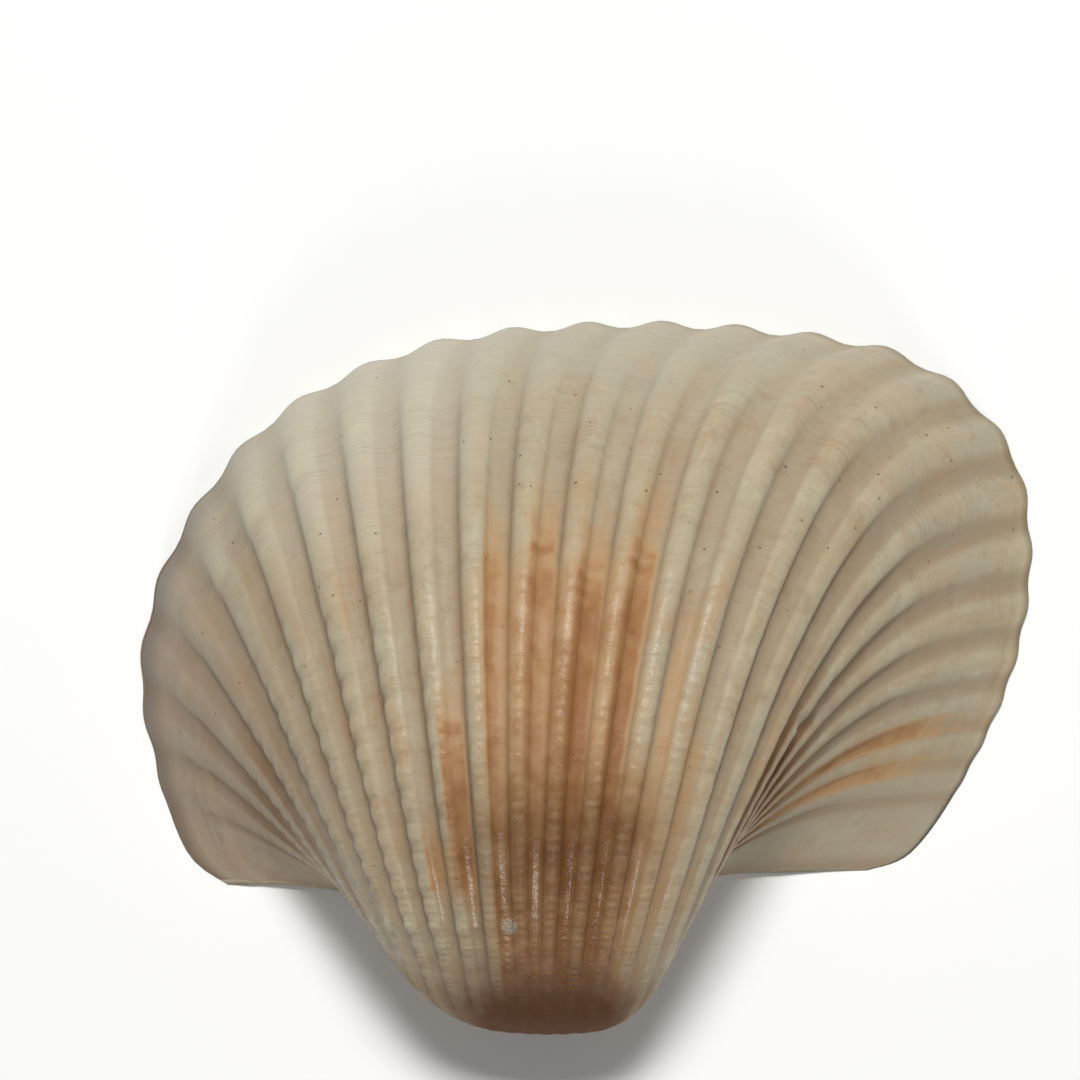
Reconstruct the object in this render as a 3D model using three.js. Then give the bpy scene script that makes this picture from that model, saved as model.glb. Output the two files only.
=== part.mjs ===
// One valve of an ark cockle: a ribbed, cup-shaped half shell that grew as one piece.
// Millimetres. The rim lies flat in the plane z = 0, X runs along the hinge, front to rear,
// and Y runs from the hinge to the belly margin. The beak curls over beyond the hinge.
//
// A shell grows at its edge only. The whole form is therefore one closed edge loop, carried
// back along a spiral: it turns about the hinge, shrinks, and ends in the beak.
import * as THREE from 'three';

// The edge between the ribs, from the front end of the hinge round the belly to its rear end.
const EDGE_POINTS = [
  [-22.6, 0], [-25.2, 2], [-27.1, 7], [-28.3, 14], [-26.3, 21.8], [-20.6, 29.5], [-11.5, 34.3],
  [-0.5, 35.9], [11, 35.6], [20.3, 33.7], [26, 28.4], [27.4, 21.5], [26.1, 13.8], [22.9, 6.8],
  [19.8, 2.4], [17, 1.2],
];
const BELLY_RADIUS = 36.5;    // from the growth pole to the belly margin
const FRONT_REACH = 28;       // from the middle of the beak to the front of the edge

// Growth towards the beak, per radian of turn.
const WIDTH_RATE = 0.59;
const SIZE_RATE = 0.354;
const SIZE_RATE_GAIN = 0.09;
const TAPER_START = 2.5;      // the turn past which the beak closes to a point
const TAPER_RATE = 2.2;
const SLIDE = -4.3;           // the beak leans forward by this much
const SLIDE_RATE = 2.7;
const SLIDE_RETURN = 0.1;     // and comes back a little as it curls over
const POLE = { y: -0.6, z: 0.55 };
const BEAK = { y: -6, z: 3.2 };
const BEAK_PULL = 4;          // how late the pole leaves the hinge for the beak

// Ribs, placed by the share of the edge's length.
const FIRST_RIB = -10;
const LAST_RIB = 13;
const RIB_ORIGIN = 0.465;
const RIB_PITCH = 0.0418;
const REAR_CROWDING_FROM = 4;
const REAR_CROWDING = 0.0011;
const FRONT_CROWDING_FROM = -7;
const FRONT_CROWDING = 0.0015;
const RIB_SHARE = 0.6;        // a rib's width as a share of its pitch
const RIB_SHOULDER = 0.22;    // the sloping wall on each side, as a share of the rib
const RIB_HEIGHT = 0.7;
const RIB_FADE = 0.75;        // how much lower the ribs are at the hinge ends
const RIB_MIDDLE = 1.5;

// The wall and the inside.
const WALL_AT_EDGE = 1.7;
const WALL_AT_BEAK = 2.5;
const HINGE_PLATE = 3.2;      // depth of the flat hinge plate
const CRENULATION = 0.35;     // how far the ribs still show on the inner edge
const HINGE_STEPS = 16;
const CORNER_GAP = 0.4;       // keeps the corners of the hollow from folding

const OUTER_TURNS = [0, 7, 15, 24, 33, 43, 53, 63, 74, 85, 96, 107, 118, 129, 140, 150, 160, 170, 180, 190];
const BEAK_TURN = 200;
const INNER_TURNS = [4, 14, 28, 44, 60, 76, 92, 106, 118];
const CAVITY_NECK = { turn: 128, close: 0.35 };
const CAVITY_END = 136;

const SHELL_COLOUR = 0xbfb296;
const SHELL_ROUGHNESS = 0.55;

const edgeCurve = new THREE.SplineCurve(EDGE_POINTS.map(([x, y]) => new THREE.Vector2(x, y)));
edgeCurve.arcLengthDivisions = 2000;

function ribStart(n) {
  const rear = Math.max(0, n - REAR_CROWDING_FROM);
  const front = Math.max(0, FRONT_CROWDING_FROM - n);
  return RIB_ORIGIN + RIB_PITCH * n - REAR_CROWDING * rear ** 2 + FRONT_CROWDING * front ** 2;
}

function ribHeight(n) {
  const reach = Math.abs(n - RIB_MIDDLE) / (LAST_RIB - RIB_MIDDLE);
  return RIB_HEIGHT * (1 - RIB_FADE * reach ** 2);
}

// One place on the edge: the point, the height of the rib there and the inward direction.
function edgePlace(share, height) {
  const point = edgeCurve.getPointAt(share);
  const along = edgeCurve.getTangentAt(share);
  return { x: point.x, y: point.y, height, inX: along.y, inY: -along.x };
}

// Each rib has a foot, two shoulders and a foot; the flat gap lies between two feet.
function ribPlaces(n) {
  const start = ribStart(n);
  const width = (ribStart(n + 1) - start) * RIB_SHARE;
  const height = ribHeight(n);
  return [
    edgePlace(start, 0),
    edgePlace(start + width * RIB_SHOULDER, height),
    edgePlace(start + width * (1 - RIB_SHOULDER), height),
    edgePlace(start + width, 0),
  ];
}

function endPlaces(from, to, count) {
  const places = [];
  for (let i = 0; i < count; i += 1) {
    places.push(edgePlace(from + ((to - from) * i) / count, 0));
  }
  return places;
}

function hingePlaces() {
  const rear = edgeCurve.getPointAt(1);
  const front = edgeCurve.getPointAt(0);
  const places = [];
  for (let i = 0; i <= HINGE_STEPS; i += 1) {
    const { x, y } = rear.clone().lerp(front, i / HINGE_STEPS);
    places.push({ x, y, height: 0, inX: 0, inY: 1, onHinge: true });
  }
  return places;
}

function edgeLoop() {
  const places = endPlaces(0, ribStart(FIRST_RIB), 3).slice(1);
  for (let n = FIRST_RIB; n <= LAST_RIB; n += 1) {
    places.push(...ribPlaces(n));
  }
  const smoothFrom = ribStart(LAST_RIB + 1);
  places.push(...endPlaces(smoothFrom, 1, 3));
  places.push(...hingePlaces());
  return places;
}

// The outer edge stands out at each rib.
function outerLoop(places) {
  return places.map((p) => [p.x - p.inX * p.height, p.y - p.inY * p.height]);
}

// The height of the hinge line above the X axis; it rises a little to the rear.
function hingeLine(x) {
  const front = edgeCurve.getPointAt(0);
  const rear = edgeCurve.getPointAt(1);
  return THREE.MathUtils.mapLinear(x, front.x, rear.x, front.y, rear.y);
}

// The inner edge lies one wall in, and one hinge plate in from the hinge line.
function innerLoop(places, crenulation) {
  const xs = places.map((p) => p.x);
  const front = Math.min(...xs) + WALL_AT_EDGE;
  const rear = Math.max(...xs) - WALL_AT_EDGE;
  const loop = places.map((p) => {
    const wave = crenulation * (p.height > 0 ? p.height / RIB_HEIGHT - 0.5 : -0.3);
    const x = THREE.MathUtils.clamp(p.x + p.inX * (WALL_AT_EDGE - wave), front, rear);
    const y = p.y + p.inY * (WALL_AT_EDGE - wave);
    return [x, Math.max(y, hingeLine(x) + HINGE_PLATE)];
  });
  return squeezeHinge(places, loop);
}

// Along the hinge plate the inner edge runs between the two corners of the hollow.
function squeezeHinge(places, loop) {
  const hinge = places.map((p, i) => i).filter((i) => places[i].onHinge);
  const start = loop[hinge[0] - 1][0] - CORNER_GAP;
  const end = loop[0][0] + CORNER_GAP;
  const last = hinge.length - 1;
  hinge.forEach((column, i) => {
    const x = THREE.MathUtils.lerp(start, end, i / last);
    loop[column] = [x, hingeLine(x) + HINGE_PLATE];
  });
  return loop;
}

function growth(turn) {
  const taper = Math.exp(-TAPER_RATE * Math.max(0, turn - TAPER_START) ** 2);
  const width = Math.exp(-WIDTH_RATE * turn) * taper;
  const size = Math.exp(-(SIZE_RATE * turn + SIZE_RATE_GAIN * turn ** 2)) * taper;
  const pull = (1 - width) ** BEAK_PULL;
  return {
    width,
    size,
    slide: SLIDE * (1 - Math.exp(-SLIDE_RATE * turn)) + SLIDE_RETURN * turn ** 2,
    poleY: THREE.MathUtils.lerp(POLE.y, BEAK.y, pull),
    poleZ: THREE.MathUtils.lerp(POLE.z, BEAK.z, pull),
  };
}

// Carries a loop of the edge plane back by one turn, at its scale for that turn.
function carry(loop, degrees, scaleOf) {
  const turn = THREE.MathUtils.degToRad(degrees);
  const g = growth(turn);
  const scale = scaleOf(g, turn);
  const cos = Math.cos(turn);
  const sin = Math.sin(turn);
  return loop.map(([x, y]) => {
    const fromPole = y - POLE.y;
    const dy = fromPole * cos + POLE.z * sin;
    const dz = fromPole * sin - POLE.z * cos;
    return new THREE.Vector3(
      g.slide + scale.width * x,
      g.poleY + scale.size * dy,
      g.poleZ + scale.size * dz,
    );
  });
}

const outerScale = (g) => ({ width: g.width, size: g.size });

// The hollow is smaller than the outside by one wall, which thickens towards the beak.
function innerScale(g, turn) {
  const wall = THREE.MathUtils.lerp(WALL_AT_EDGE, WALL_AT_BEAK, turn / TAPER_START);
  return {
    width: (g.width * FRONT_REACH - wall) / (FRONT_REACH - WALL_AT_EDGE),
    size: (g.size * BELLY_RADIUS - wall) / (BELLY_RADIUS - WALL_AT_EDGE),
  };
}

function centreOf(ring) {
  const sum = ring.reduce((total, p) => total.add(p), new THREE.Vector3());
  return sum.divideScalar(ring.length);
}

function closeIn(ring, share) {
  const centre = centreOf(ring);
  return ring.map((p) => p.clone().lerp(centre, share));
}

// The ring that lies on the ground plane is made exactly flat.
function flatten(ring) {
  return ring.map((p) => new THREE.Vector3(p.x, p.y, 0));
}

function valveRings() {
  const places = edgeLoop();
  const outside = outerLoop(places);
  const inside = innerLoop(places, 0);
  const outer = OUTER_TURNS.map((degrees) => carry(outside, degrees, outerScale));
  outer[0] = flatten(outer[0]);
  const rim = flatten(carry(innerLoop(places, CRENULATION), 0, innerScale));
  const inner = INNER_TURNS.map((degrees) => carry(inside, degrees, innerScale));
  const neck = closeIn(carry(inside, CAVITY_NECK.turn, innerScale), CAVITY_NECK.close);
  return {
    beak: centreOf(carry(outside, BEAK_TURN, outerScale)),
    rings: [...outer.reverse(), rim, ...inner, neck],
    cavityEnd: centreOf(carry(inside, CAVITY_END, innerScale)),
  };
}

// Joins the rings into one closed skin, with a single point at each end.
function skin({ beak, rings, cavityEnd }) {
  const columns = rings[0].length;
  const points = [beak, ...rings.flat(), cavityEnd];
  const last = points.length - 1;
  const at = (ring, column) => 1 + ring * columns + (column % columns);
  const index = [];
  for (let c = 0; c < columns; c += 1) {
    index.push(0, at(0, c + 1), at(0, c));
    for (let r = 0; r < rings.length - 1; r += 1) {
      index.push(at(r, c), at(r, c + 1), at(r + 1, c));
      index.push(at(r, c + 1), at(r + 1, c + 1), at(r + 1, c));
    }
    index.push(at(rings.length - 1, c), at(rings.length - 1, c + 1), last);
  }
  const geometry = new THREE.BufferGeometry().setFromPoints(points);
  geometry.setIndex(index);
  return geometry;
}

// The origin is under the middle of the valve, on the plane that it rests on.
function centre(geometry) {
  geometry.computeBoundingBox();
  const { min, max } = geometry.boundingBox;
  geometry.translate(-(min.x + max.x) / 2, -(min.y + max.y) / 2, -min.z);
  geometry.computeVertexNormals();
  return geometry;
}

const shellMaterial = new THREE.MeshStandardMaterial({
  color: SHELL_COLOUR,
  roughness: SHELL_ROUGHNESS,
  metalness: 0,
});

const valve = new THREE.Mesh(centre(skin(valveRings())), shellMaterial);
valve.name = 'valve';

const cockleShell = new THREE.Group();
cockleShell.add(valve);

export default cockleShell;
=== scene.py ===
import math

import bpy
import numpy as np
from mathutils import Matrix, Vector, noise


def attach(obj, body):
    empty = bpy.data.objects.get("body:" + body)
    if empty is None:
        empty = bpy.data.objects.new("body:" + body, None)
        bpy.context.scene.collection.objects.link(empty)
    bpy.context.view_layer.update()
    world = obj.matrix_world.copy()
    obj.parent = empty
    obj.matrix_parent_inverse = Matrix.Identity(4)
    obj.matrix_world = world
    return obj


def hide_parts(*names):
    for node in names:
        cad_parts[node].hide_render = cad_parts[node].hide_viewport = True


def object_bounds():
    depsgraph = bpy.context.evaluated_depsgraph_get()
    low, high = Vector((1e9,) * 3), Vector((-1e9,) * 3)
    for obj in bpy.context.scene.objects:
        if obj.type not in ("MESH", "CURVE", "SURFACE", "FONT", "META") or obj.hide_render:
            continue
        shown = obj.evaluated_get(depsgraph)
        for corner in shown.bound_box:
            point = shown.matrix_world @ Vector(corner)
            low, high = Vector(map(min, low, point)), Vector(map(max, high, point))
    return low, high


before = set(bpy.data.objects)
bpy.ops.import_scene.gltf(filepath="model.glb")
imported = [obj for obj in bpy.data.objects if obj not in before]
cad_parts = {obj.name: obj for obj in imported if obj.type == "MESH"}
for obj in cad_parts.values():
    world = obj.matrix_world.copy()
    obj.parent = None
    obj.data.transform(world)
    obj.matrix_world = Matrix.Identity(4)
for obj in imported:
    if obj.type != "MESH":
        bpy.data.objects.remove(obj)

cad_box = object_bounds()
MM = 0.001

# ---------------------------------------------------------------------------------------
# The growing edge. A valve grows only at its edge, a closed loop of the scalloped margin
# and the straight hinge line, so that loop is laid out first: a ring of points, each one
# knowing which rib it is on and which way is in.

EDGE_POINTS = [
    (-22.6, 0), (-25.2, 2), (-27.1, 7), (-28.3, 14), (-26.3, 21.8), (-20.6, 29.5), (-11.5, 34.3),
    (-0.5, 35.9), (11, 35.6), (20.3, 33.7), (26, 28.4), (27.4, 21.5), (26.1, 13.8), (22.9, 6.8),
    (19.8, 2.4), (17, 1.2),
]
FIRST_RIB = -10
LAST_RIB = 13
RIB_ORIGIN = 0.465
RIB_PITCH = 0.0418
REAR_CROWDING = 0.0011
FRONT_CROWDING = 0.0015
RIB_SHARE = 0.6
RIB_STEPS = (0, 0.05, 0.13, 0.26, 0.45, 0.64, 0.8, 0.9, 0.96)
GAP_STEPS = (0, 0.3, 0.7)
FRONT_STEPS = 8
REAR_STEPS = 14
HINGE_STEPS = 48


def spline_points(controls, per_span):
    """A smooth curve through the control points, as close-set points."""
    ends = [controls[0]] + controls + [controls[-1]]
    points = []
    for i in range(len(controls) - 1):
        p0, p1, p2, p3 = (Vector(p) for p in ends[i:i + 4])
        for step in range(per_span):
            t = step / per_span
            a = (p2 - p0) * 0.5
            b = (p3 - p1) * 0.5
            d = p2 - p1
            points.append(p1 + t * a + t * t * (3 * d - 2 * a - b) + t ** 3 * (a + b - 2 * d))
    points.append(Vector(controls[-1]))
    return np.array(points)


def rib_start(n):
    """Where rib n starts, as a share of the edge; the ribs crowd together on both flanks."""
    rear = max(0, n - 4)
    front = max(0, -7 - n)
    return RIB_ORIGIN + RIB_PITCH * n - REAR_CROWDING * rear ** 2 + FRONT_CROWDING * front ** 2


def lay_out_columns():
    """Each column's share of the edge's length and its rib number, rib n being n to n + 0.6."""
    shares = []
    ribs = []
    start = rib_start(FIRST_RIB)
    for i in range(1, FRONT_STEPS):
        shares.append(start * i / FRONT_STEPS)
        ribs.append(FIRST_RIB - 1 + i / FRONT_STEPS)
    for n in range(FIRST_RIB, LAST_RIB + 1):
        width = rib_start(n + 1) - rib_start(n)
        places = [t * RIB_SHARE for t in RIB_STEPS]
        places += [RIB_SHARE + t * (1 - RIB_SHARE) for t in GAP_STEPS]
        shares += [rib_start(n) + width * t for t in places]
        ribs += [n + t for t in places]
    start = rib_start(LAST_RIB + 1)
    for i in range(REAR_STEPS):
        shares.append(start + (1 - start) * i / REAR_STEPS)
        ribs.append(LAST_RIB + 1 + i / REAR_STEPS)
    return np.array(shares), np.array(ribs)


outline = spline_points(EDGE_POINTS, 400)
lengths = np.concatenate([[0], np.cumsum(np.linalg.norm(np.diff(outline, axis=0), axis=1))])
lengths /= lengths[-1]
tangents = np.gradient(outline, axis=0)
tangents /= np.linalg.norm(tangents, axis=1)[:, None]

shares, rib_of = lay_out_columns()
edge_x = np.interp(shares, lengths, outline[:, 0])
edge_y = np.interp(shares, lengths, outline[:, 1])
in_x = np.interp(shares, lengths, tangents[:, 1])
in_y = -np.interp(shares, lengths, tangents[:, 0])

hinge_x = np.linspace(EDGE_POINTS[-1][0], EDGE_POINTS[0][0], HINGE_STEPS + 1)
hinge_y = np.linspace(EDGE_POINTS[-1][1], EDGE_POINTS[0][1], HINGE_STEPS + 1)
on_hinge = np.concatenate([np.zeros(len(shares), bool), np.ones(len(hinge_x), bool)])
edge_x = np.concatenate([edge_x, hinge_x])
edge_y = np.concatenate([edge_y, hinge_y])
in_x = np.concatenate([in_x, np.zeros(len(hinge_x))])
in_y = np.concatenate([in_y, np.ones(len(hinge_x))])
rib_of = np.concatenate([rib_of, np.linspace(LAST_RIB + 2, LAST_RIB + 4, len(hinge_x))])
COLUMNS = len(edge_x)

# ---------------------------------------------------------------------------------------
# The valve, grown from the edge. Aragonite, laid down edge after edge: the loop is
# extruded, shrunk and turned about the hinge once for each step of growth, back to the
# beak for the outside and under the crown for the hollow.

OUTER_ROWS = 200
BEAK_TURN = math.radians(200)
WIDTH_RATE = 0.59
SIZE_RATE = 0.354
SIZE_RATE_GAIN = 0.09
TAPER_START = 2.5
TAPER_RATE = 2.2
SLIDE = -4.3
SLIDE_RATE = 2.7
SLIDE_RETURN = 0.1
POLE = (-0.6, 0.55)
BEAK = (-6.0, 3.2)
BEAK_PULL = 4
BELLY_RADIUS = 36.5
FRONT_REACH = 28
WALL_AT_EDGE = 1.7
WALL_AT_BEAK = 2.5
HINGE_PLATE = 3.2
INNER_ROWS = 44
CAVITY_TURN = math.radians(134)


def growth(turn):
    """The width, the size, the lean to the front and the turning point at a turn."""
    taper = math.exp(-TAPER_RATE * max(0, turn - TAPER_START) ** 2)
    width = math.exp(-WIDTH_RATE * turn) * taper
    size = math.exp(-(SIZE_RATE * turn + SIZE_RATE_GAIN * turn ** 2)) * taper
    pull = (1 - width) ** BEAK_PULL
    slide = SLIDE * (1 - math.exp(-SLIDE_RATE * turn)) + SLIDE_RETURN * turn ** 2
    pole_y = POLE[0] + (BEAK[0] - POLE[0]) * pull
    pole_z = POLE[1] + (BEAK[1] - POLE[1]) * pull
    return width, size, Vector((slide, pole_y, pole_z))


def hollow_growth(turn):
    """As growth, less the wall, which is thicker towards the beak."""
    width, size, pole = growth(turn)
    wall = WALL_AT_EDGE + (WALL_AT_BEAK - WALL_AT_EDGE) * turn / TAPER_START
    width = (width * FRONT_REACH - wall) / (FRONT_REACH - WALL_AT_EDGE)
    size = (size * BELLY_RADIUS - wall) / (BELLY_RADIUS - WALL_AT_EDGE)
    return width, size, pole


def select_row(valve, first):
    bpy.ops.object.mode_set(mode="OBJECT")
    picked = np.zeros(len(valve.data.vertices), bool)
    picked[first:first + COLUMNS] = True
    bpy.ops.object.mode_set(mode="EDIT")
    bpy.ops.mesh.select_all(action="DESELECT")
    bpy.ops.object.mode_set(mode="OBJECT")
    valve.data.vertices.foreach_set("select", picked)
    bpy.ops.object.mode_set(mode="EDIT")


def grow_step(before, after, turned):
    """Extrudes the loop and carries it from one stage of growth to the next."""
    width, size, pole = before
    next_width, next_size, next_pole = after
    ratio = (next_width / width, next_size / size, next_size / size)
    bpy.ops.mesh.extrude_region_move()
    bpy.ops.transform.resize(value=ratio, center_override=pole * MM)
    bpy.ops.transform.rotate(value=-turned, orient_axis="X", center_override=pole * MM)
    bpy.ops.transform.translate(value=(next_pole - pole) * MM)


bpy.ops.object.select_all(action="DESELECT")
bpy.ops.mesh.primitive_circle_add(vertices=COLUMNS, radius=BELLY_RADIUS * MM, fill_type="NOTHING")
valve = bpy.context.object
valve.name = "valve_shell"
ring = np.stack([edge_x, edge_y, np.zeros(COLUMNS)], axis=1) * MM
valve.data.vertices.foreach_set("co", ring.ravel())
bpy.ops.object.mode_set(mode="EDIT")
bpy.ops.mesh.select_all(action="SELECT")
bpy.context.tool_settings.mesh_select_mode = (True, False, False)

outer_turns = [BEAK_TURN * i / OUTER_ROWS for i in range(OUTER_ROWS + 1)]
for i in range(OUTER_ROWS):
    before = growth(outer_turns[i])
    grow_step(before, growth(outer_turns[i + 1]), outer_turns[i + 1] - outer_turns[i])

# The rim: six more rows, from the outer edge to the edge of the hollow, set in place below.
RIM_ROWS = 6
select_row(valve, 0)
for i in range(RIM_ROWS):
    bpy.ops.mesh.extrude_region_move()

# The edge of the hollow: one wall in from the margin, one hinge plate in from the hinge.
hollow_x = edge_x + in_x * WALL_AT_EDGE
hollow_x = np.clip(hollow_x, edge_x.min() + WALL_AT_EDGE, edge_x.max() - WALL_AT_EDGE)
plate_y = np.interp(hollow_x, hinge_x[::-1], hinge_y[::-1]) + HINGE_PLATE
hollow_y = np.maximum(edge_y + in_y * WALL_AT_EDGE, plate_y)
corner_rear = hollow_x[~on_hinge][-1]
corner_front = hollow_x[~on_hinge][0]
hollow_x[on_hinge] = np.linspace(corner_rear - 0.2, corner_front + 0.2, on_hinge.sum())
hollow_y[on_hinge] = np.interp(hollow_x[on_hinge], hinge_x[::-1], hinge_y[::-1]) + HINGE_PLATE
bpy.ops.object.mode_set(mode="OBJECT")
spots = np.zeros(len(valve.data.vertices) * 3)
valve.data.vertices.foreach_get("co", spots)
spots = spots.reshape(-1, 3)
hollow_row = len(spots) - COLUMNS
spots[hollow_row:] = np.stack([hollow_x, hollow_y, np.zeros(COLUMNS)], axis=1) * MM
valve.data.vertices.foreach_set("co", spots.ravel())
bpy.ops.object.mode_set(mode="EDIT")

inner_turns = [CAVITY_TURN * i / INNER_ROWS for i in range(INNER_ROWS + 1)]
for i in range(INNER_ROWS):
    before = hollow_growth(inner_turns[i])
    grow_step(before, hollow_growth(inner_turns[i + 1]), inner_turns[i + 1] - inner_turns[i])
bpy.ops.object.mode_set(mode="OBJECT")

# ---------------------------------------------------------------------------------------
# The ribs and the other relief. Each rib is a low rounded ridge with knots along it, cut
# by growth checks where the animal stopped for a season. They are shaped by moving each
# point out from the smooth wall, at the scale that the edge had when it was laid down.


def smooth(low, high, value):
    t = np.clip((value - low) / (high - low), 0, 1)
    return t * t * (3 - 2 * t)


def bump(centre, width, value):
    return np.exp(-((value - centre) / width) ** 2)


def rough(points, scale, seed):
    """Smooth noise between -1 and 1 at each point, a feature every `scale` millimetres."""
    shift = Vector((seed * 7.3, seed * 3.1, seed * 5.7))
    flat = points.reshape(-1, points.shape[-1]) / scale
    values = np.array([noise.noise(Vector(p) + shift) for p in flat])
    return values.reshape(points.shape[:-1])


def outward_of(width, size, turn):
    """The way out of the wall at each point: across the loop, and turned with it."""
    out_x = -in_x[None, :] / width[:, None]
    out_y = -in_y[None, :] / size[:, None]
    length = np.hypot(out_x, out_y)
    cos = np.cos(turn)[:, None]
    sin = np.sin(turn)[:, None]
    return np.stack([out_x / length, out_y * cos / length, out_y * sin / length], axis=2)


# Across each rib: its crisp ridge, which leans forward on the front ribs and backward on the
# rear ones, and the soft wave that it fades to at the margin. Ribs run from -10 in front to
# 13 at the rear, and heights and depths are in millimetres.
RIB_HEIGHT = 0.7
fraction = rib_of - np.floor(rib_of)
across = np.clip(fraction / RIB_SHARE, 0, 1)
in_gap = np.clip((fraction - RIB_SHARE) / (1 - RIB_SHARE), 0, 1)
has_rib = (rib_of >= FIRST_RIB) & (rib_of < LAST_RIB + 1) & ~on_hinge
RIB_MIDDLE = 1.5
RIB_FADE = 0.75
reach = np.abs(rib_of - RIB_MIDDLE) / (LAST_RIB - RIB_MIDDLE)
rib_strength = np.where(has_rib, 1 - RIB_FADE * reach ** 2, 0)
ridge = (1 - np.abs(2 * across - 1) ** 2.6) ** 0.8
forward = smooth(-0.04, 0.2, fraction) * (1 - smooth(0.3, 1.0, fraction))
from_foot = (fraction - RIB_SHARE) % 1
backward = smooth(0, 0.65, from_foot) * (1 - smooth(0.84, 1, from_foot))
front_share = 0.55 * smooth(0.5, -2, rib_of)
rear_share = 0.6 * smooth(2.5, 5.5, rib_of)
slope = ridge * (1 - front_share - rear_share) + forward * front_share + backward * rear_share
soft_wave = 0.5 + 0.5 * np.cos(2 * np.pi * (fraction - RIB_SHARE / 2))

# Between the ribs: a shallow channel, with a sharp groove along one foot of each rib, on
# the front foot of the front ribs and on the rear foot of the rear ones.
front_foot = smooth(4.5, 1, rib_of) * bump(0, 0.11, np.minimum(fraction, 1 - fraction))
rear_foot_width = 0.07 + 0.05 * smooth(4, 8, rib_of)
rear_foot = smooth(1, 4.5, rib_of) * bump(RIB_SHARE + 0.05, rear_foot_width, fraction)
foot = np.where(has_rib, np.maximum(front_foot, rear_foot), 0)
CHANNEL_DEPTH = 0.10
GROOVE_DEPTH = 0.09
channel = CHANNEL_DEPTH * np.sin(np.pi * in_gap) + GROOVE_DEPTH * foot

turns = np.array(outer_turns)
degrees = np.degrees(turns)[:, None]
stages = [growth(t) for t in outer_turns]
widths = np.array([s[0] for s in stages])
sizes = np.array([s[1] for s in stages])
scale = np.sqrt(widths * sizes)[:, None]

spots = np.zeros(len(valve.data.vertices) * 3)
valve.data.vertices.foreach_get("co", spots)
spots = spots.reshape(-1, 3) / MM
outer = spots[:(OUTER_ROWS + 1) * COLUMNS].reshape(OUTER_ROWS + 1, COLUMNS, 3)
outward = outward_of(widths, sizes, turns)

# Knots: a few degrees of growth apart, each rib with its own beat, strongest in front.
KNOT_DEGREES = 4.6
KNOT_HEIGHT = 0.4
RIB_BEAT = 12.9
ribs = rib_of[None, :]
beat = 2.4 * np.sin(np.floor(ribs) * RIB_BEAT)
knot_wave = np.cos(2 * np.pi * degrees / KNOT_DEGREES + beat)
knot_zone = smooth(34, 60, degrees) * (0.25 + 0.75 * smooth(0, -4, ribs))
knots = 1 + KNOT_HEIGHT * (1 - 0.6 * across[None, :]) * (knot_wave - 0.5) * knot_zone
# Painted shade in the gaps between knots, used only for the colour.
knot_gap_shade = smooth(0, -0.8, knot_wave) * knot_zone * bump(0.05, 0.17, fraction)[None, :]

# The ribs rise from the margin inwards, and are softer there and on the flanks. The umbo is
# worn: its ribs run together, and it stands up round and smooth.
softness = 1 - smooth(9, 44, degrees)
softness = np.maximum(softness, 0.4 * smooth(5, 8, ribs) + 0.3 * smooth(-2, -6, ribs))
rise = 0.75 + 0.6 * smooth(0, 35, degrees)
crisp = slope[None, :] * knots - channel[None, :]
relief = rib_strength[None, :] * (crisp * (1 - softness) + soft_wave[None, :] * softness)
relief *= 1 - 0.4 * smooth(4, 8, ribs) * smooth(9, 0, degrees)
worn = 0.85 * smooth(98, 132, degrees)
relief = relief * (1 - worn) + 0.85 * worn * has_rib
UMBO_SWELL = 1.3
relief += UMBO_SWELL * smooth(105, 135, degrees) * smooth(178, 150, degrees) * has_rib
raise_by = RIB_HEIGHT * rise * relief

# Two growth checks: the newer shell stands a little proud, and drops off at the line.
LATE_CHECK_TURN = 24
EARLY_CHECK_TURN = 102.5
EARLY_CHECK_STEP = 0.22
growth_place = np.stack([ribs + 0 * degrees, degrees + 0 * ribs, 0 * degrees * ribs], axis=2)
ragged = rough(growth_place, 1.1, 3)
late_line = LATE_CHECK_TURN - 0.6 * np.clip(ribs, -8, 8) + 0.8 * ragged
late_check = smooth(late_line - 14, late_line, degrees)
late_check = late_check * (1 - smooth(late_line, late_line + 1.6, degrees))
raise_by += late_check * (0.06 + 0.16 * smooth(-1, -4, ribs))
early_line = EARLY_CHECK_TURN + 1.6 * ragged
early_check = smooth(early_line - 5, early_line, degrees)
early_check = early_check * (1 - smooth(early_line, early_line + 1.2, degrees))
raise_by += early_check * EARLY_CHECK_STEP * smooth(1.5, -0.5, ribs)

# A flaked chip on the crown and a small one on the rear flank, with a scraped place below it.
CHIP_DEPTH = 0.24
SCRAPE_DEPTH = 0.2
flake = np.hypot((ribs + 0.08) / 0.3, (degrees - 101.5) / 2.6) + 0.6 * ragged
small_flake = np.hypot((ribs - 8.3) / 0.3, (degrees - 53) / 1.8)
chip = smooth(1.2, 0.5, np.minimum(flake, small_flake))
scrape_place = np.hypot((ribs - 8.85) / 0.6, (degrees - 44) / 4) + 0.4 * ragged
scrape = 0.6 * smooth(1.1, 0.5, scrape_place)
raise_by -= CHIP_DEPTH * chip + SCRAPE_DEPTH * scrape

# The whole wall undulates a little, more slowly than the ribs.
WAVE_HEIGHT = 0.14
WAVE_LENGTH = 6
free = (~on_hinge)[None, :] * smooth(0, 6, degrees)
raise_by += WAVE_HEIGHT * rough(outer, WAVE_LENGTH, 1) * free / scale
outer += outward * (raise_by * scale)[:, :, None]

# ---------------------------------------------------------------------------------------
# The rim, the hinge plate and the inside. The wall ends in a rounded lip whose inner edge
# is notched under each rib. The hollow is smooth, with two muscle scars and a faint line
# between them, and the hinge plate is sunk a little so that the teeth can stand on it.

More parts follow.
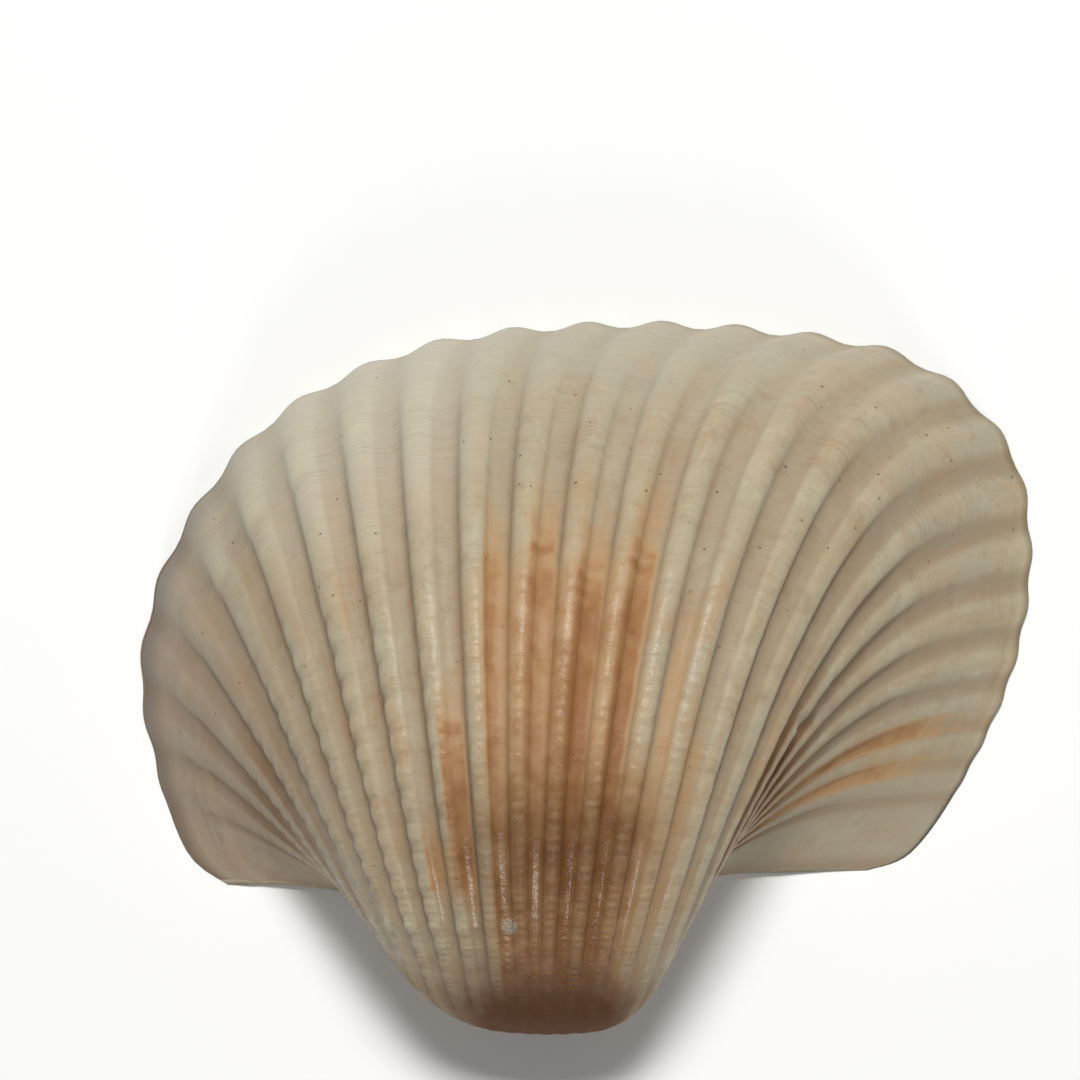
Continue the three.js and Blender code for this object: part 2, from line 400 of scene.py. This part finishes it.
inner = spots[hollow_row:].reshape(INNER_ROWS + 1, COLUMNS, 3)
inner_degrees = np.degrees(np.array(inner_turns))[:, None]
hollow_stages = [hollow_growth(t) for t in inner_turns]
hollow_widths = np.array([s[0] for s in hollow_stages])
hollow_sizes = np.array([s[1] for s in hollow_stages])
inner_outward = outward_of(hollow_widths, hollow_sizes, np.array(inner_turns))

NOTCH_DEPTH = 0.42
SCAR_DEPTH = 0.13
MANTLE_LINE_DEPTH = 0.06
INNER_WAVE_HEIGHT = 0.12
INNER_WAVE_LENGTH = 8
notches = NOTCH_DEPTH * rib_strength[None, :] * (soft_wave[None, :] - 0.4)
notches = notches * (1 - smooth(2, 11, inner_degrees))
front_scar = np.hypot((ribs + 7.6) / 2.0, (inner_degrees - 36) / 11)
rear_scar = np.hypot((ribs - 9.4) / 2.2, (inner_degrees - 34) / 12)
scar = 1 - smooth(0.86, 1, np.minimum(front_scar, rear_scar))
between = smooth(-9, -7, ribs) * smooth(12, 10, ribs)
mantle_line = bump(14 + 1.0 * np.sin(ribs * 0.9), 1.5, inner_degrees) * between
sink = SCAR_DEPTH * scar + MANTLE_LINE_DEPTH * mantle_line * (1 - scar)
hollow_free = (~on_hinge)[None, :] * smooth(0, 20, inner_degrees)
sink += INNER_WAVE_HEIGHT * rough(inner, INNER_WAVE_LENGTH, 5) * hollow_free
inner += inner_outward * (notches + sink)[:, :, None]

LIP = 0.3
PLATE_SINK = 0.4
RIM_SHARES = (0, 0.1, 0.26, 0.5, 0.76, 0.92, 1)
LIP_LIFTS = (1, 0.25, 0, 0, 0.1, 0.45, 1.2)
PLATE_LIFTS = (0, 0, 1, 1, 1, 1, 1)
flat_edge = outer[0].copy()
hollow_edge = inner[0].copy()
lip_room = LIP * smooth(2, 14, edge_y) * (~on_hinge)
from_corner = np.minimum(edge_x - EDGE_POINTS[0][0], EDGE_POINTS[-1][0] - edge_x)
plate_room = PLATE_SINK * np.where(on_hinge, smooth(0, 1.5, from_corner), 0)
for i, share in enumerate(RIM_SHARES):
    row = flat_edge * (1 - share) + hollow_edge * share
    row[:, 2] = LIP_LIFTS[i] * lip_room + PLATE_LIFTS[i] * plate_room
    if i == 0:
        outer[0] = row
    elif i == RIM_ROWS:
        inner[0] = row
    else:
        first = (OUTER_ROWS + i) * COLUMNS
        spots[first:first + COLUMNS] = row
spots[:(OUTER_ROWS + 1) * COLUMNS] = outer.reshape(-1, 3)
spots[hollow_row:] = inner.reshape(-1, 3)
valve.data.vertices.foreach_set("co", (spots * MM).ravel())

# ---------------------------------------------------------------------------------------
# What the surface keeps of its growth, for the material: the rib and the turn of each
# point, the height within a rib, the brown stain, the dark crown, and what lies inside.


def keep(mesh, name, values):
    mesh.attributes.new(name, "FLOAT", "POINT").data.foreach_set("value", values)


def on_outside(values):
    """Values for the rows of the outside, with nothing on the rim and the inside."""
    full = np.zeros((len(spots) // COLUMNS, COLUMNS))
    full[:OUTER_ROWS + 1] = values
    return full.ravel()


def on_inside(values):
    full = np.zeros((len(spots) // COLUMNS, COLUMNS))
    full[-INNER_ROWS - 1:] = values
    return full.ravel()


# Brown bands along the growth, most of them in the channels: rib place, half width,
# first and last turn in degrees, strength.
BANDS = (
    (-0.30, 0.20, 44, 150, 0.85),
    (0.66, 0.27, 43, 150, 0.85),
    (1.70, 0.33, 49, 150, 1.0),
    (2.66, 0.30, 46, 150, 0.95),
    (2.62, 0.22, 36, 60, 0.45),
    (1.45, 0.40, 34, 60, 0.35),
    (0.55, 0.30, 30, 50, 0.25),
    (1.25, 0.40, 56, 110, 0.85),
    (3.85, 0.24, 56, 150, 0.60),
    (-1.35, 0.32, 68, 98, 0.90),
    (-2.3, 0.22, 85, 97, 0.75),
    (-1.8, 0.5, 87, 97, 0.60),
    (4.7, 0.30, 66, 130, 0.50),
    (5.7, 0.24, 82, 120, 0.40),
    (7.3, 0.4, 56, 76, 0.35),
    (11.65, 0.34, 8, 60, 0.80),
    (12.7, 0.34, 10, 60, 0.74),
    (12.2, 0.40, 14, 24, 0.45),
)
stain = np.zeros((OUTER_ROWS + 1, COLUMNS))
RAGGED_ENDS = 5
uneven = degrees + RAGGED_ENDS * rough(growth_place, 0.5, 6)
for place, half, first, last, strength in BANDS:
    band = 1 - smooth(half * 0.75, half * 1.25, np.abs(ribs - place))
    starts = 0.7 * smooth(first - 8, first + 8, uneven)
    starts = starts + 0.3 * smooth(first - 24, first - 4, uneven)
    band = band * starts * smooth(last + 6, last - 6, uneven)
    stain = np.maximum(stain, band * strength)

# The crowded channels of both flanks hold dirt where they run together.
rear_channels = smooth(6.7, 8.5, ribs) * smooth(32, 64, degrees) * (ribs < LAST_RIB + 1)
stain = np.maximum(stain, rear_channels * (0.45 + 0.45 * smooth(0.95, 0.4, ridge)[None, :]))

front_channels = smooth(-5.5, -7, ribs) * smooth(30, 60, degrees) * (ribs > FIRST_RIB)
stain = np.maximum(stain, 0.4 * front_channels * smooth(0.95, 0.4, ridge)[None, :])

# A tan wash over the middle ribs, which is brown all over further up the crown.
middle = smooth(-1.6, 0.2, ribs) * smooth(5.6, 3.2, ribs)
wash = middle * (0.62 * smooth(42, 54, degrees) * smooth(3.6, 2.6, ribs) + 0.1)
wash = np.maximum(wash, 0.82 * middle * smooth(62, 84, uneven)) * smooth(40, 48, uneven)
stain = np.maximum(stain, wash)

# The grooves of the front ribs are brown here and there.
groove = 0.32 * front_foot[None, :] * smooth(26, 46, degrees) * smooth(112, 90, degrees)
stain = np.maximum(stain, groove * has_rib * smooth(-6.5, -5, ribs))

# The crown is the darkest, and the dirt of the crowded channels turns as dark.
crown = 0.8 * smooth(64, 90, degrees) * (1 - 0.45 * bump(105, 14, degrees))
crown = crown * smooth(-5, 1, ribs) * smooth(6.2, 2.8, ribs)
crown = crown + 0.2 * smooth(108, 150, degrees) * smooth(-5, 1, ribs) * smooth(8.5, 4, ribs)
crown = crown + 0.42 * smooth(94, 140, degrees) * smooth(9, 4.5, ribs)
crown = np.maximum(crown, rear_channels * (0.25 + 0.65 * smooth(0.9, 0.3, ridge)[None, :]))
crown = np.maximum(crown, 0.45 * front_channels * smooth(0.9, 0.3, ridge)[None, :])

# How high each place stands: 1 on the crests, 0 in the channels, and the smooth wings between.
WING_LEVEL = 0.55
crest = np.where(has_rib, ridge, WING_LEVEL)[None, :] + 0 * degrees
valley = 0.45 - 0.3 * smooth(3, 7, ribs)
crest = crest * (1 - softness) + (valley + (1 - valley) * soft_wave[None, :]) * softness

all_rows = np.zeros((len(spots) // COLUMNS, COLUMNS))
all_turns = all_rows.copy()
all_turns[:OUTER_ROWS + 1] = degrees
all_turns[-INNER_ROWS - 1:] = inner_degrees
inside = all_rows.copy()
inside[OUTER_ROWS + 1:] = 1
inside[OUTER_ROWS + 1] = 0.5

# The grooves' painted shade fades towards the margin, and the gaps between knots are painted as
# dark as the grooves.
foot_share = 0.1 + 0.75 * smooth(20, 60, degrees)
foot_share = foot_share * (1 - 0.6 * smooth(4, 8, ribs) * smooth(40, 20, degrees))
groove_shade_and_brown = np.maximum(foot[None, :] * foot_share, knot_gap_shade)

keep(valve.data, "rib", (all_rows + ribs).ravel())
keep(valve.data, "turn", all_turns.ravel())
keep(valve.data, "crest", on_outside(crest))
# The groove line at each rib's foot: painted shade, partly brown.
keep(valve.data, "foot", on_outside(groove_shade_and_brown))
keep(valve.data, "stain", on_outside(stain))
keep(valve.data, "crown", on_outside(np.clip(crown, 0, 1)))
keep(valve.data, "bare", on_outside(np.maximum(chip, scrape)))
keep(valve.data, "check", on_outside(np.maximum(late_check, early_check)))
keep(valve.data, "inside", inside.ravel())
keep(valve.data, "scar", on_inside(np.maximum(scar, 0.5 * mantle_line)))
keep(valve.data, "plate", ((all_rows + on_hinge[None, :]) * (inside > 0)).ravel())

# Both ends close to a point, and the faces are turned outwards.
last_outer = OUTER_ROWS * COLUMNS
last_inner = len(valve.data.vertices) - COLUMNS
select_row(valve, last_inner)
bpy.ops.mesh.merge(type="CENTER")
select_row(valve, last_outer)
bpy.ops.mesh.merge(type="CENTER")
bpy.ops.mesh.select_all(action="SELECT")
bpy.ops.mesh.normals_make_consistent(inside=False)
bpy.ops.object.mode_set(mode="OBJECT")

# ---------------------------------------------------------------------------------------
# The hinge teeth. A row of small rounded ridges of the same shell, straight and short in
# the middle of the plate, longer and slanted towards its ends.

TOOTH_COUNT = 40
TOOTH_MIDDLE = -3.0
TOOTH_REACH = 18.0
TOOTH_FAN = 38
teeth = []
for i in range(TOOTH_COUNT):
    along = 2 * i / (TOOTH_COUNT - 1) - 1
    x = TOOTH_MIDDLE + TOOTH_REACH * along
    plate_edge = np.interp(x, hinge_x[::-1], hinge_y[::-1])
    y = plate_edge + HINGE_PLATE * (0.52 + 0.06 * abs(along))
    half_length = 0.75 + 0.45 * abs(along) ** 1.5
    radii = (0.22 + 0.08 * abs(along), half_length, PLATE_SINK - 0.04)
    bpy.ops.object.select_all(action="DESELECT")
    bpy.ops.mesh.primitive_uv_sphere_add(segments=10, ring_count=6, radius=MM)
    tooth = bpy.context.object
    tooth.data.transform(Matrix.Diagonal((*radii, 1)))
    tooth.data.transform(Matrix.Rotation(math.radians(TOOTH_FAN * along), 4, "Z"))
    tooth.data.transform(Matrix.Translation(Vector((x, y, PLATE_SINK)) * MM))
    count = len(tooth.data.vertices)
    keep(tooth.data, "inside", np.ones(count))
    keep(tooth.data, "plate", np.ones(count))
    keep(tooth.data, "crest", np.ones(count))
    teeth.append(tooth)
bpy.ops.object.select_all(action="DESELECT")
for tooth in teeth:
    tooth.select_set(True)
valve.select_set(True)
bpy.context.view_layer.objects.active = valve
bpy.ops.object.join()
bpy.ops.object.shade_smooth()

# The row frame: the edge is set where the CAD solid has it.
shift = Vector((
    cad_box[0].x - outer[:, :, 0].min() * MM,
    cad_box[1].y - outer[:, :, 1].max() * MM,
    0,
))
valve.data.transform(Matrix.Translation(shift))

# ---------------------------------------------------------------------------------------
# The shell material: aragonite worn smooth by the sea. Cream ribs, taupe channels, brown
# stain that follows the growth, small knots and growth lines, pits, and a porcelain inside.


def tint(hex_code):
    """A colour from its sRGB hex code, as Blender's linear values."""
    values = [int(hex_code[i:i + 2], 16) / 255 for i in (0, 2, 4)]
    return tuple(v / 12.92 if v <= 0.04045 else ((v + 0.055) / 1.055) ** 2.4 for v in values) + (1,)


def add_node(tree, kind, settings=None, links=None):
    """A node with its settings, by input name or number or by property, and its links."""
    node = tree.nodes.new(kind)
    for key, value in (settings or {}).items():
        if isinstance(key, int) or key in node.inputs:
            node.inputs[key].default_value = value
        else:
            setattr(node, key, value)
    for key, source in (links or {}).items():
        tree.links.new(source, node.inputs[key])
    return node


shell = bpy.data.materials.new("aragonite_sea_worn")
shell.use_nodes = True
tree = shell.node_tree
bsdf = tree.nodes["Principled BSDF"]


def combined(operation, parts):
    """Adds or multiplies numbers, sockets and fades. A fade is (source, low, high): it is 0
    at the low limit and 1 at the high one, and smooth between."""
    result = None
    for part in parts:
        if isinstance(part, tuple):
            source, low, high = part
            limits = {"interpolation_type": "SMOOTHSTEP", "From Min": low, "From Max": high}
            part = add_node(tree, "ShaderNodeMapRange", limits, {"Value": source}).outputs[0]
        if result is None:
            result = part
            continue
        node = add_node(tree, "ShaderNodeMath", {"operation": operation})
        for i, side in enumerate((result, part)):
            if isinstance(side, (int, float)):
                node.inputs[i].default_value = side
            else:
                tree.links.new(side, node.inputs[i])
        result = node.outputs[0]
    return result


def product(*parts):
    return combined("MULTIPLY", parts)


def total(*parts):
    return combined("ADD", parts)


def laid_over(colour, layers):
    """Lays tints over a colour, one after another, each as far as its share says."""
    for code, share in layers:
        node = add_node(tree, "ShaderNodeMix", {"data_type": "RGBA", 7: tint(code)}, {0: share})
        if isinstance(colour, tuple):
            node.inputs[6].default_value = colour
        else:
            tree.links.new(colour, node.inputs[6])
        colour = node.outputs[2]
    return colour


kept = {}
for name in ("rib", "turn", "crest", "foot", "stain", "crown", "bare", "check",
             "inside", "scar", "plate"):
    kept[name] = add_node(tree, "ShaderNodeAttribute", {"attribute_name": name}).outputs["Fac"]
rib = kept["rib"]
turn = kept["turn"]
crest_kept = kept["crest"]
inside_kept = kept["inside"]

# The patterns, by the size of one feature in millimetres, with their detail and roughness.
# The first three lie in space. The rest follow the growth: their sizes are across the ribs
# and along them, at the margin, where a rib with its channel is 4.8 mm wide and a degree of
# growth about 0.64 mm long. The real frosting of a worn shell is finer than 0.05 mm, too fine
# to show, so the grain is drawn as coarse as it needs to show.
RIB_WIDTH = 4.8
DEGREE_LENGTH = 0.64
SPACE_PATTERNS = {
    "clouds": (4.5455, 4, 0.55),
    "mottle": (1.1111, 4, 0.55),
    "grain": (0.142857, 2, 0.55),
}
GROWTH_PATTERNS = {
    "streaks": (1.2, 12.8, 3, 0.55),
    "lines": (34.286, 0.37647, 3, 0.65),
    "hairlines": (9.6, 0.106667, 2, 0.55),
    "patches": (3.0, 2.9091, 3, 0.6),
    "blotches": (3.6923, 6.4, 4, 0.65),
}
place_mm = add_node(tree, "ShaderNodeVectorMath", {"operation": "SCALE", "Scale": 1 / MM}, {
    0: add_node(tree, "ShaderNodeTexCoord").outputs["Object"]}).outputs[0]
growth_at = add_node(tree, "ShaderNodeCombineXYZ", links={"X": rib, "Y": turn}).outputs[0]
patterns = []
for size, detail, roughness in SPACE_PATTERNS.values():
    patterns.append((place_mm, (1 / size, 1 / size, 1 / size), detail, roughness))
for across_ribs, along_ribs, detail, roughness in GROWTH_PATTERNS.values():
    stretch = (RIB_WIDTH / across_ribs, DEGREE_LENGTH / along_ribs, 1)
    patterns.append((growth_at, stretch, detail, roughness))
drawn = []
for source, stretch, detail, roughness in patterns:
    stretched = add_node(tree, "ShaderNodeVectorMath",
                         {"operation": "MULTIPLY", 1: stretch}, {0: source}).outputs[0]
    drawn.append(add_node(tree, "ShaderNodeTexNoise",
                          {"Scale": 1, "Detail": detail, "Roughness": roughness},
                          {"Vector": stretched}).outputs["Fac"])
clouds, mottle, grain, streaks, lines, hairlines, patches, blotches = drawn

# Cream that drifts between warm and cool, with warm and pale blotches. The wings at both
# ends are painted greyer and darker as shade, the front ribs palest, and the edge of the front
# flank is darkened with painted shade.
channels = product((crest_kept, 0.75, 0.05))
channel_share = product(channels, total(0.3, product(0.35, (rib, 3, 8))))
colour = laid_over(tint("b1a78e"), (
    ("b6a687", product((clouds, 0.35, 0.65))),
    ("a6987d", product((mottle, 0.5, 0.75))),
    ("b59672", product(0.7, (streaks, 0.5, 0.75))),
    ("b0916d", product(0.62, (blotches, 0.5, 0.68), (turn, 10, 26))),
    ("c3bca1", product(0.45, (blotches, 0.48, 0.34), (turn, 80, 50))),
    # Painted shade: both wings greyer and darker, as if the flanks turned from the light.
    ("948b7a", product(0.6, (rib, 9, 14))),
    ("978474", product(0.6, (rib, -3.5, -8))),
    ("bbb49e", product(0.6, (turn, 45, 10), (rib, 6, 1), (rib, -7, -4))),
    ("c9c1ad", product(0.6, (rib, 0, -1.5), (rib, -5.5, -3.5), (turn, 50, 32))),
    # Painted shade: the front flank's edge near the margin is darkened in the colour.
    ("7a6a5b", product(0.9, (turn, 16, 4), (rib, -3.5, -7))),
))

# Taupe in the channels; in the grooves a brown line that is partly painted shade at the foot of
# each rib; and painted light on the front ribs' crests where the newer shell stands proud of the
# late check.
# Painted light: the crests where the newer shell stands proud of the late check are painted paler,
# as if lit.
painted_lit_crests = product(kept["check"], (rib, -0.5, -3.5), (rib, -7, -5), (crest_kept, 0.5, 1.2))
colour = laid_over(colour, (
    ("917c64", channel_share),
    ("755d4a", product(kept["foot"], total(0.3, product(0.7, mottle)))),
    ("c9c0a6", painted_lit_crests),
))

# Growth lines: faint brown threads across the ribs, closest near the late check.
threads = product((lines, 0.5, 0.72), (rib, 14, 7), (patches, 0.42, 0.6))
near_check = product((turn, 14, 20), (turn, 30, 25))
colour = laid_over(colour, (
    ("8e684a", product(threads, total(0.12, product(0.14, near_check)))),
    ("8b7960", product(0.35, (hairlines, 0.45, 0.8))),
))

# The stain, broken up along and across the growth, with the dark of the crown over it.
stained = total(kept["stain"], product(0.55, patches), product(0.25, mottle), -0.4)
stain_colour = laid_over(tint("b49067"), [("93663e", product((stained, 0.55, 1.1)))])
stain_share = product((stained, 0.12, 0.85))
colour = add_node(tree, "ShaderNodeMix", {"data_type": "RGBA"},
                  {0: stain_share, 6: colour, 7: stain_colour}).outputs[2]
dark = total(kept["crown"], product(0.3, patches), -0.15)
colour = laid_over(colour, [("5c381c", product((dark, 0.0, 1.1)))])

# Small knots on the ribs and bars across the channels, each rib with its own beat.
SMALL_KNOT_DEGREES = 1.7
rib_whole = add_node(tree, "ShaderNodeMath", {"operation": "FLOOR"}, {0: rib}).outputs[0]
own_beat = add_node(tree, "ShaderNodeMath", {"operation": "SINE"}, {
    0: product(rib_whole, RIB_BEAT)}).outputs[0]
knot_place = total(turn, product(1.8, mottle))
knot_phase = total(product(2 * math.pi / SMALL_KNOT_DEGREES, knot_place), product(3, own_beat))
swing = add_node(tree, "ShaderNodeMath", {"operation": "SINE"}, {0: knot_phase}).outputs[0]
small_knots = product(total(product(0.5, swing), 0.5), (turn, 38, 62), (turn, 135, 115),
                      (mottle, 0.35, 0.6))
on_crest = product((crest_kept, 0.5, 0.95))
# Painted highlight: the tops of the small knots on the crests are painted paler, less so under the
# worn crown.
knot_glint_painted = product(small_knots, on_crest, total(0.04, product(0.08, (turn, 112, 96))))
colour = laid_over(colour, [("c4b494", knot_glint_painted)])

# Pits and specks: small dark dots up to 0.2 mm across, one or none in each cell of 0.83 mm,
# mostly out towards the late check. The radius is a share of the cell. Grey-brown bare shell
# shows in the chips, in the scrape and in spots of wear.
DOT_CELL = 1 / 1.2
DOT_RADIUS = 0.12
dots = add_node(tree, "ShaderNodeTexVoronoi", {"Scale": 1 / DOT_CELL, "Randomness": 1},
                {"Vector": place_mm})
dot_chance = add_node(tree, "ShaderNodeSeparateColor", links={0: dots.outputs["Color"]})
dot_size = product(DOT_RADIUS, (dot_chance.outputs[0], 0.45, 1.0))
dot_depth = total(dot_size, product(-1, dots.outputs["Distance"]))
dot_zone = total(0.3, product(0.6, (turn, 60, 30)))
dot = product((dot_depth, 0, 0.03), dot_zone, (rib, 10, 6))
bare_place = total(kept["bare"], product(1.4, grain), -0.7)
colour = laid_over(colour, (
    ("5a4835", dot),
    ("a99b89", product((bare_place, 0.3, 1.0))),
))

# The inside: porcelain white, cream at the rim, warm under the crown and in the scars.
white = laid_over(tint("d0cabc"), (
    ("c7bfab", product((clouds, 0.35, 0.7))),
    ("a69072", product((turn, 60, 125))),
    ("aa997d", product(0.6, kept["scar"])),
    ("ad9d86", product(0.25, (streaks, 0.5, 0.8))),
    ("917d61", product(0.5, kept["plate"], (crest_kept, 0.9, 0.1))),
))
colour = add_node(tree, "ShaderNodeMix", {"data_type": "RGBA"},
                  {0: inside_kept, 6: colour, 7: white}).outputs[2]
tree.links.new(colour, bsdf.inputs["Base Color"])

# The sea has polished the middle of the crests, with brighter sparks in their grain, and the
# channels of the crown are glazed. The lower channels and the worn umbo are dull, and the
# inside is glossy up to its rim.
polished = product(on_crest, (turn, 40, 55), (turn, 100, 80))
sparks = product(0.22, (grain, 0.56, 0.68))
glazed = product(channels, (turn, 76, 92), (turn, 124, 112))
unglazed = product(channels, (turn, 72, 60))
dull = total(
    0.38,
    product(0.16, grain),
    product(-1, polished, total(sparks, 0.04)),
    product(0.42, (turn, 112, 126)),
    product(-0.3, glazed),
    product(0.4, unglazed),
)
dull_inside = total(0.22, product(0.22, (turn, 16, 8)))
dull = add_node(tree, "ShaderNodeMix", {"data_type": "FLOAT"},
                {0: inside_kept, 2: dull, 3: dull_inside}).outputs[0]
tree.links.new(dull, bsdf.inputs["Roughness"])

# Fine relief, in millimetres: knots, growth lines, grain, pits and bare shell.
fine = total(
    product(small_knots, total(0.012, product(0.028, on_crest))),
    product(-1, threads, total(0.012, product(0.015, near_check))),
    product(0.008, hairlines),
    product(0.03, mottle),
    product(0.012, grain),
    product(-0.08, dot),
    product(0.15, kept["bare"], grain),
)
fine = product(fine, total(1, product(-0.7, inside_kept)))
relief_node = add_node(tree, "ShaderNodeBump", {"Strength": 1, "Distance": MM}, {"Height": fine})
tree.links.new(relief_node.outputs[0], bsdf.inputs["Normal"])

# Thin shell lets a little light through, the red of it furthest, and has only a faint coat.
bsdf.inputs["Subsurface Weight"].default_value = 0.12
bsdf.inputs["Subsurface Radius"].default_value = (1.0, 0.7, 0.45)
bsdf.inputs["Subsurface Scale"].default_value = 0.001
bsdf.inputs["Specular IOR Level"].default_value = 0.25
bsdf.inputs["Coat Weight"].default_value = 0.02
bsdf.inputs["Coat Roughness"].default_value = 0.12
valve.data.materials.append(shell)
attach(valve, "root")
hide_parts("valve")

# ---------------------------------------------------------------------------------------
# The floor and the light: plain paper, a broad soft light a little towards the belly, and
# a tall narrow window low down towards the beak, which shows in the polished channels.
bpy.ops.object.select_all(action="DESELECT")
bpy.ops.mesh.primitive_plane_add(size=3, location=(0, 0, 0))
floor = bpy.context.object
floor.name = "floor"
paper = bpy.data.materials.new("pale_paper")
paper.use_nodes = True
paper.node_tree.nodes["Principled BSDF"].inputs["Base Color"].default_value = tint("f4f4f2")
paper.node_tree.nodes["Principled BSDF"].inputs["Roughness"].default_value = 0.9
floor.data.materials.append(paper)

world = bpy.data.worlds.new("studio")
bpy.context.scene.world = world
world.use_nodes = True
world.node_tree.nodes["Background"].inputs["Color"].default_value = (1, 1, 1, 1)
world.node_tree.nodes["Background"].inputs["Strength"].default_value = 0.12


def soft_light(name, place, size, power):
    data = bpy.data.lights.new(name, "AREA")
    data.shape = "RECTANGLE"
    data.size = size[0]
    data.size_y = size[1]
    data.energy = power
    light = bpy.data.objects.new(name, data)
    bpy.context.scene.collection.objects.link(light)
    light.location = place
    aim = Vector((0, 0, 0.008)) - Vector(place)
    light.rotation_euler = aim.to_track_quat("-Z", "Y").to_euler()


soft_light("key", (0.01, 0.17, 0.47), (0.13, 0.13), 2.3)
soft_light("window", (0.0, -0.44, 0.28), (0.05, 0.22), 0.6)

# ---------------------------------------------------------------------------------------
# The camera, looking down on the crown from the beak's side.
camera_data = bpy.data.cameras.new("camera")
camera_data.lens = 121.5
camera_data.sensor_width = 36
camera = bpy.data.objects.new("camera", camera_data)
bpy.context.scene.collection.objects.link(camera)
camera.location = Vector((0.03, -29.8, 224.9)) * MM + shift
camera.rotation_euler = (math.radians(13), math.radians(0.77), math.radians(0.52))
bpy.context.scene.camera = camera
bpy.context.scene.view_settings.view_transform = "Standard"
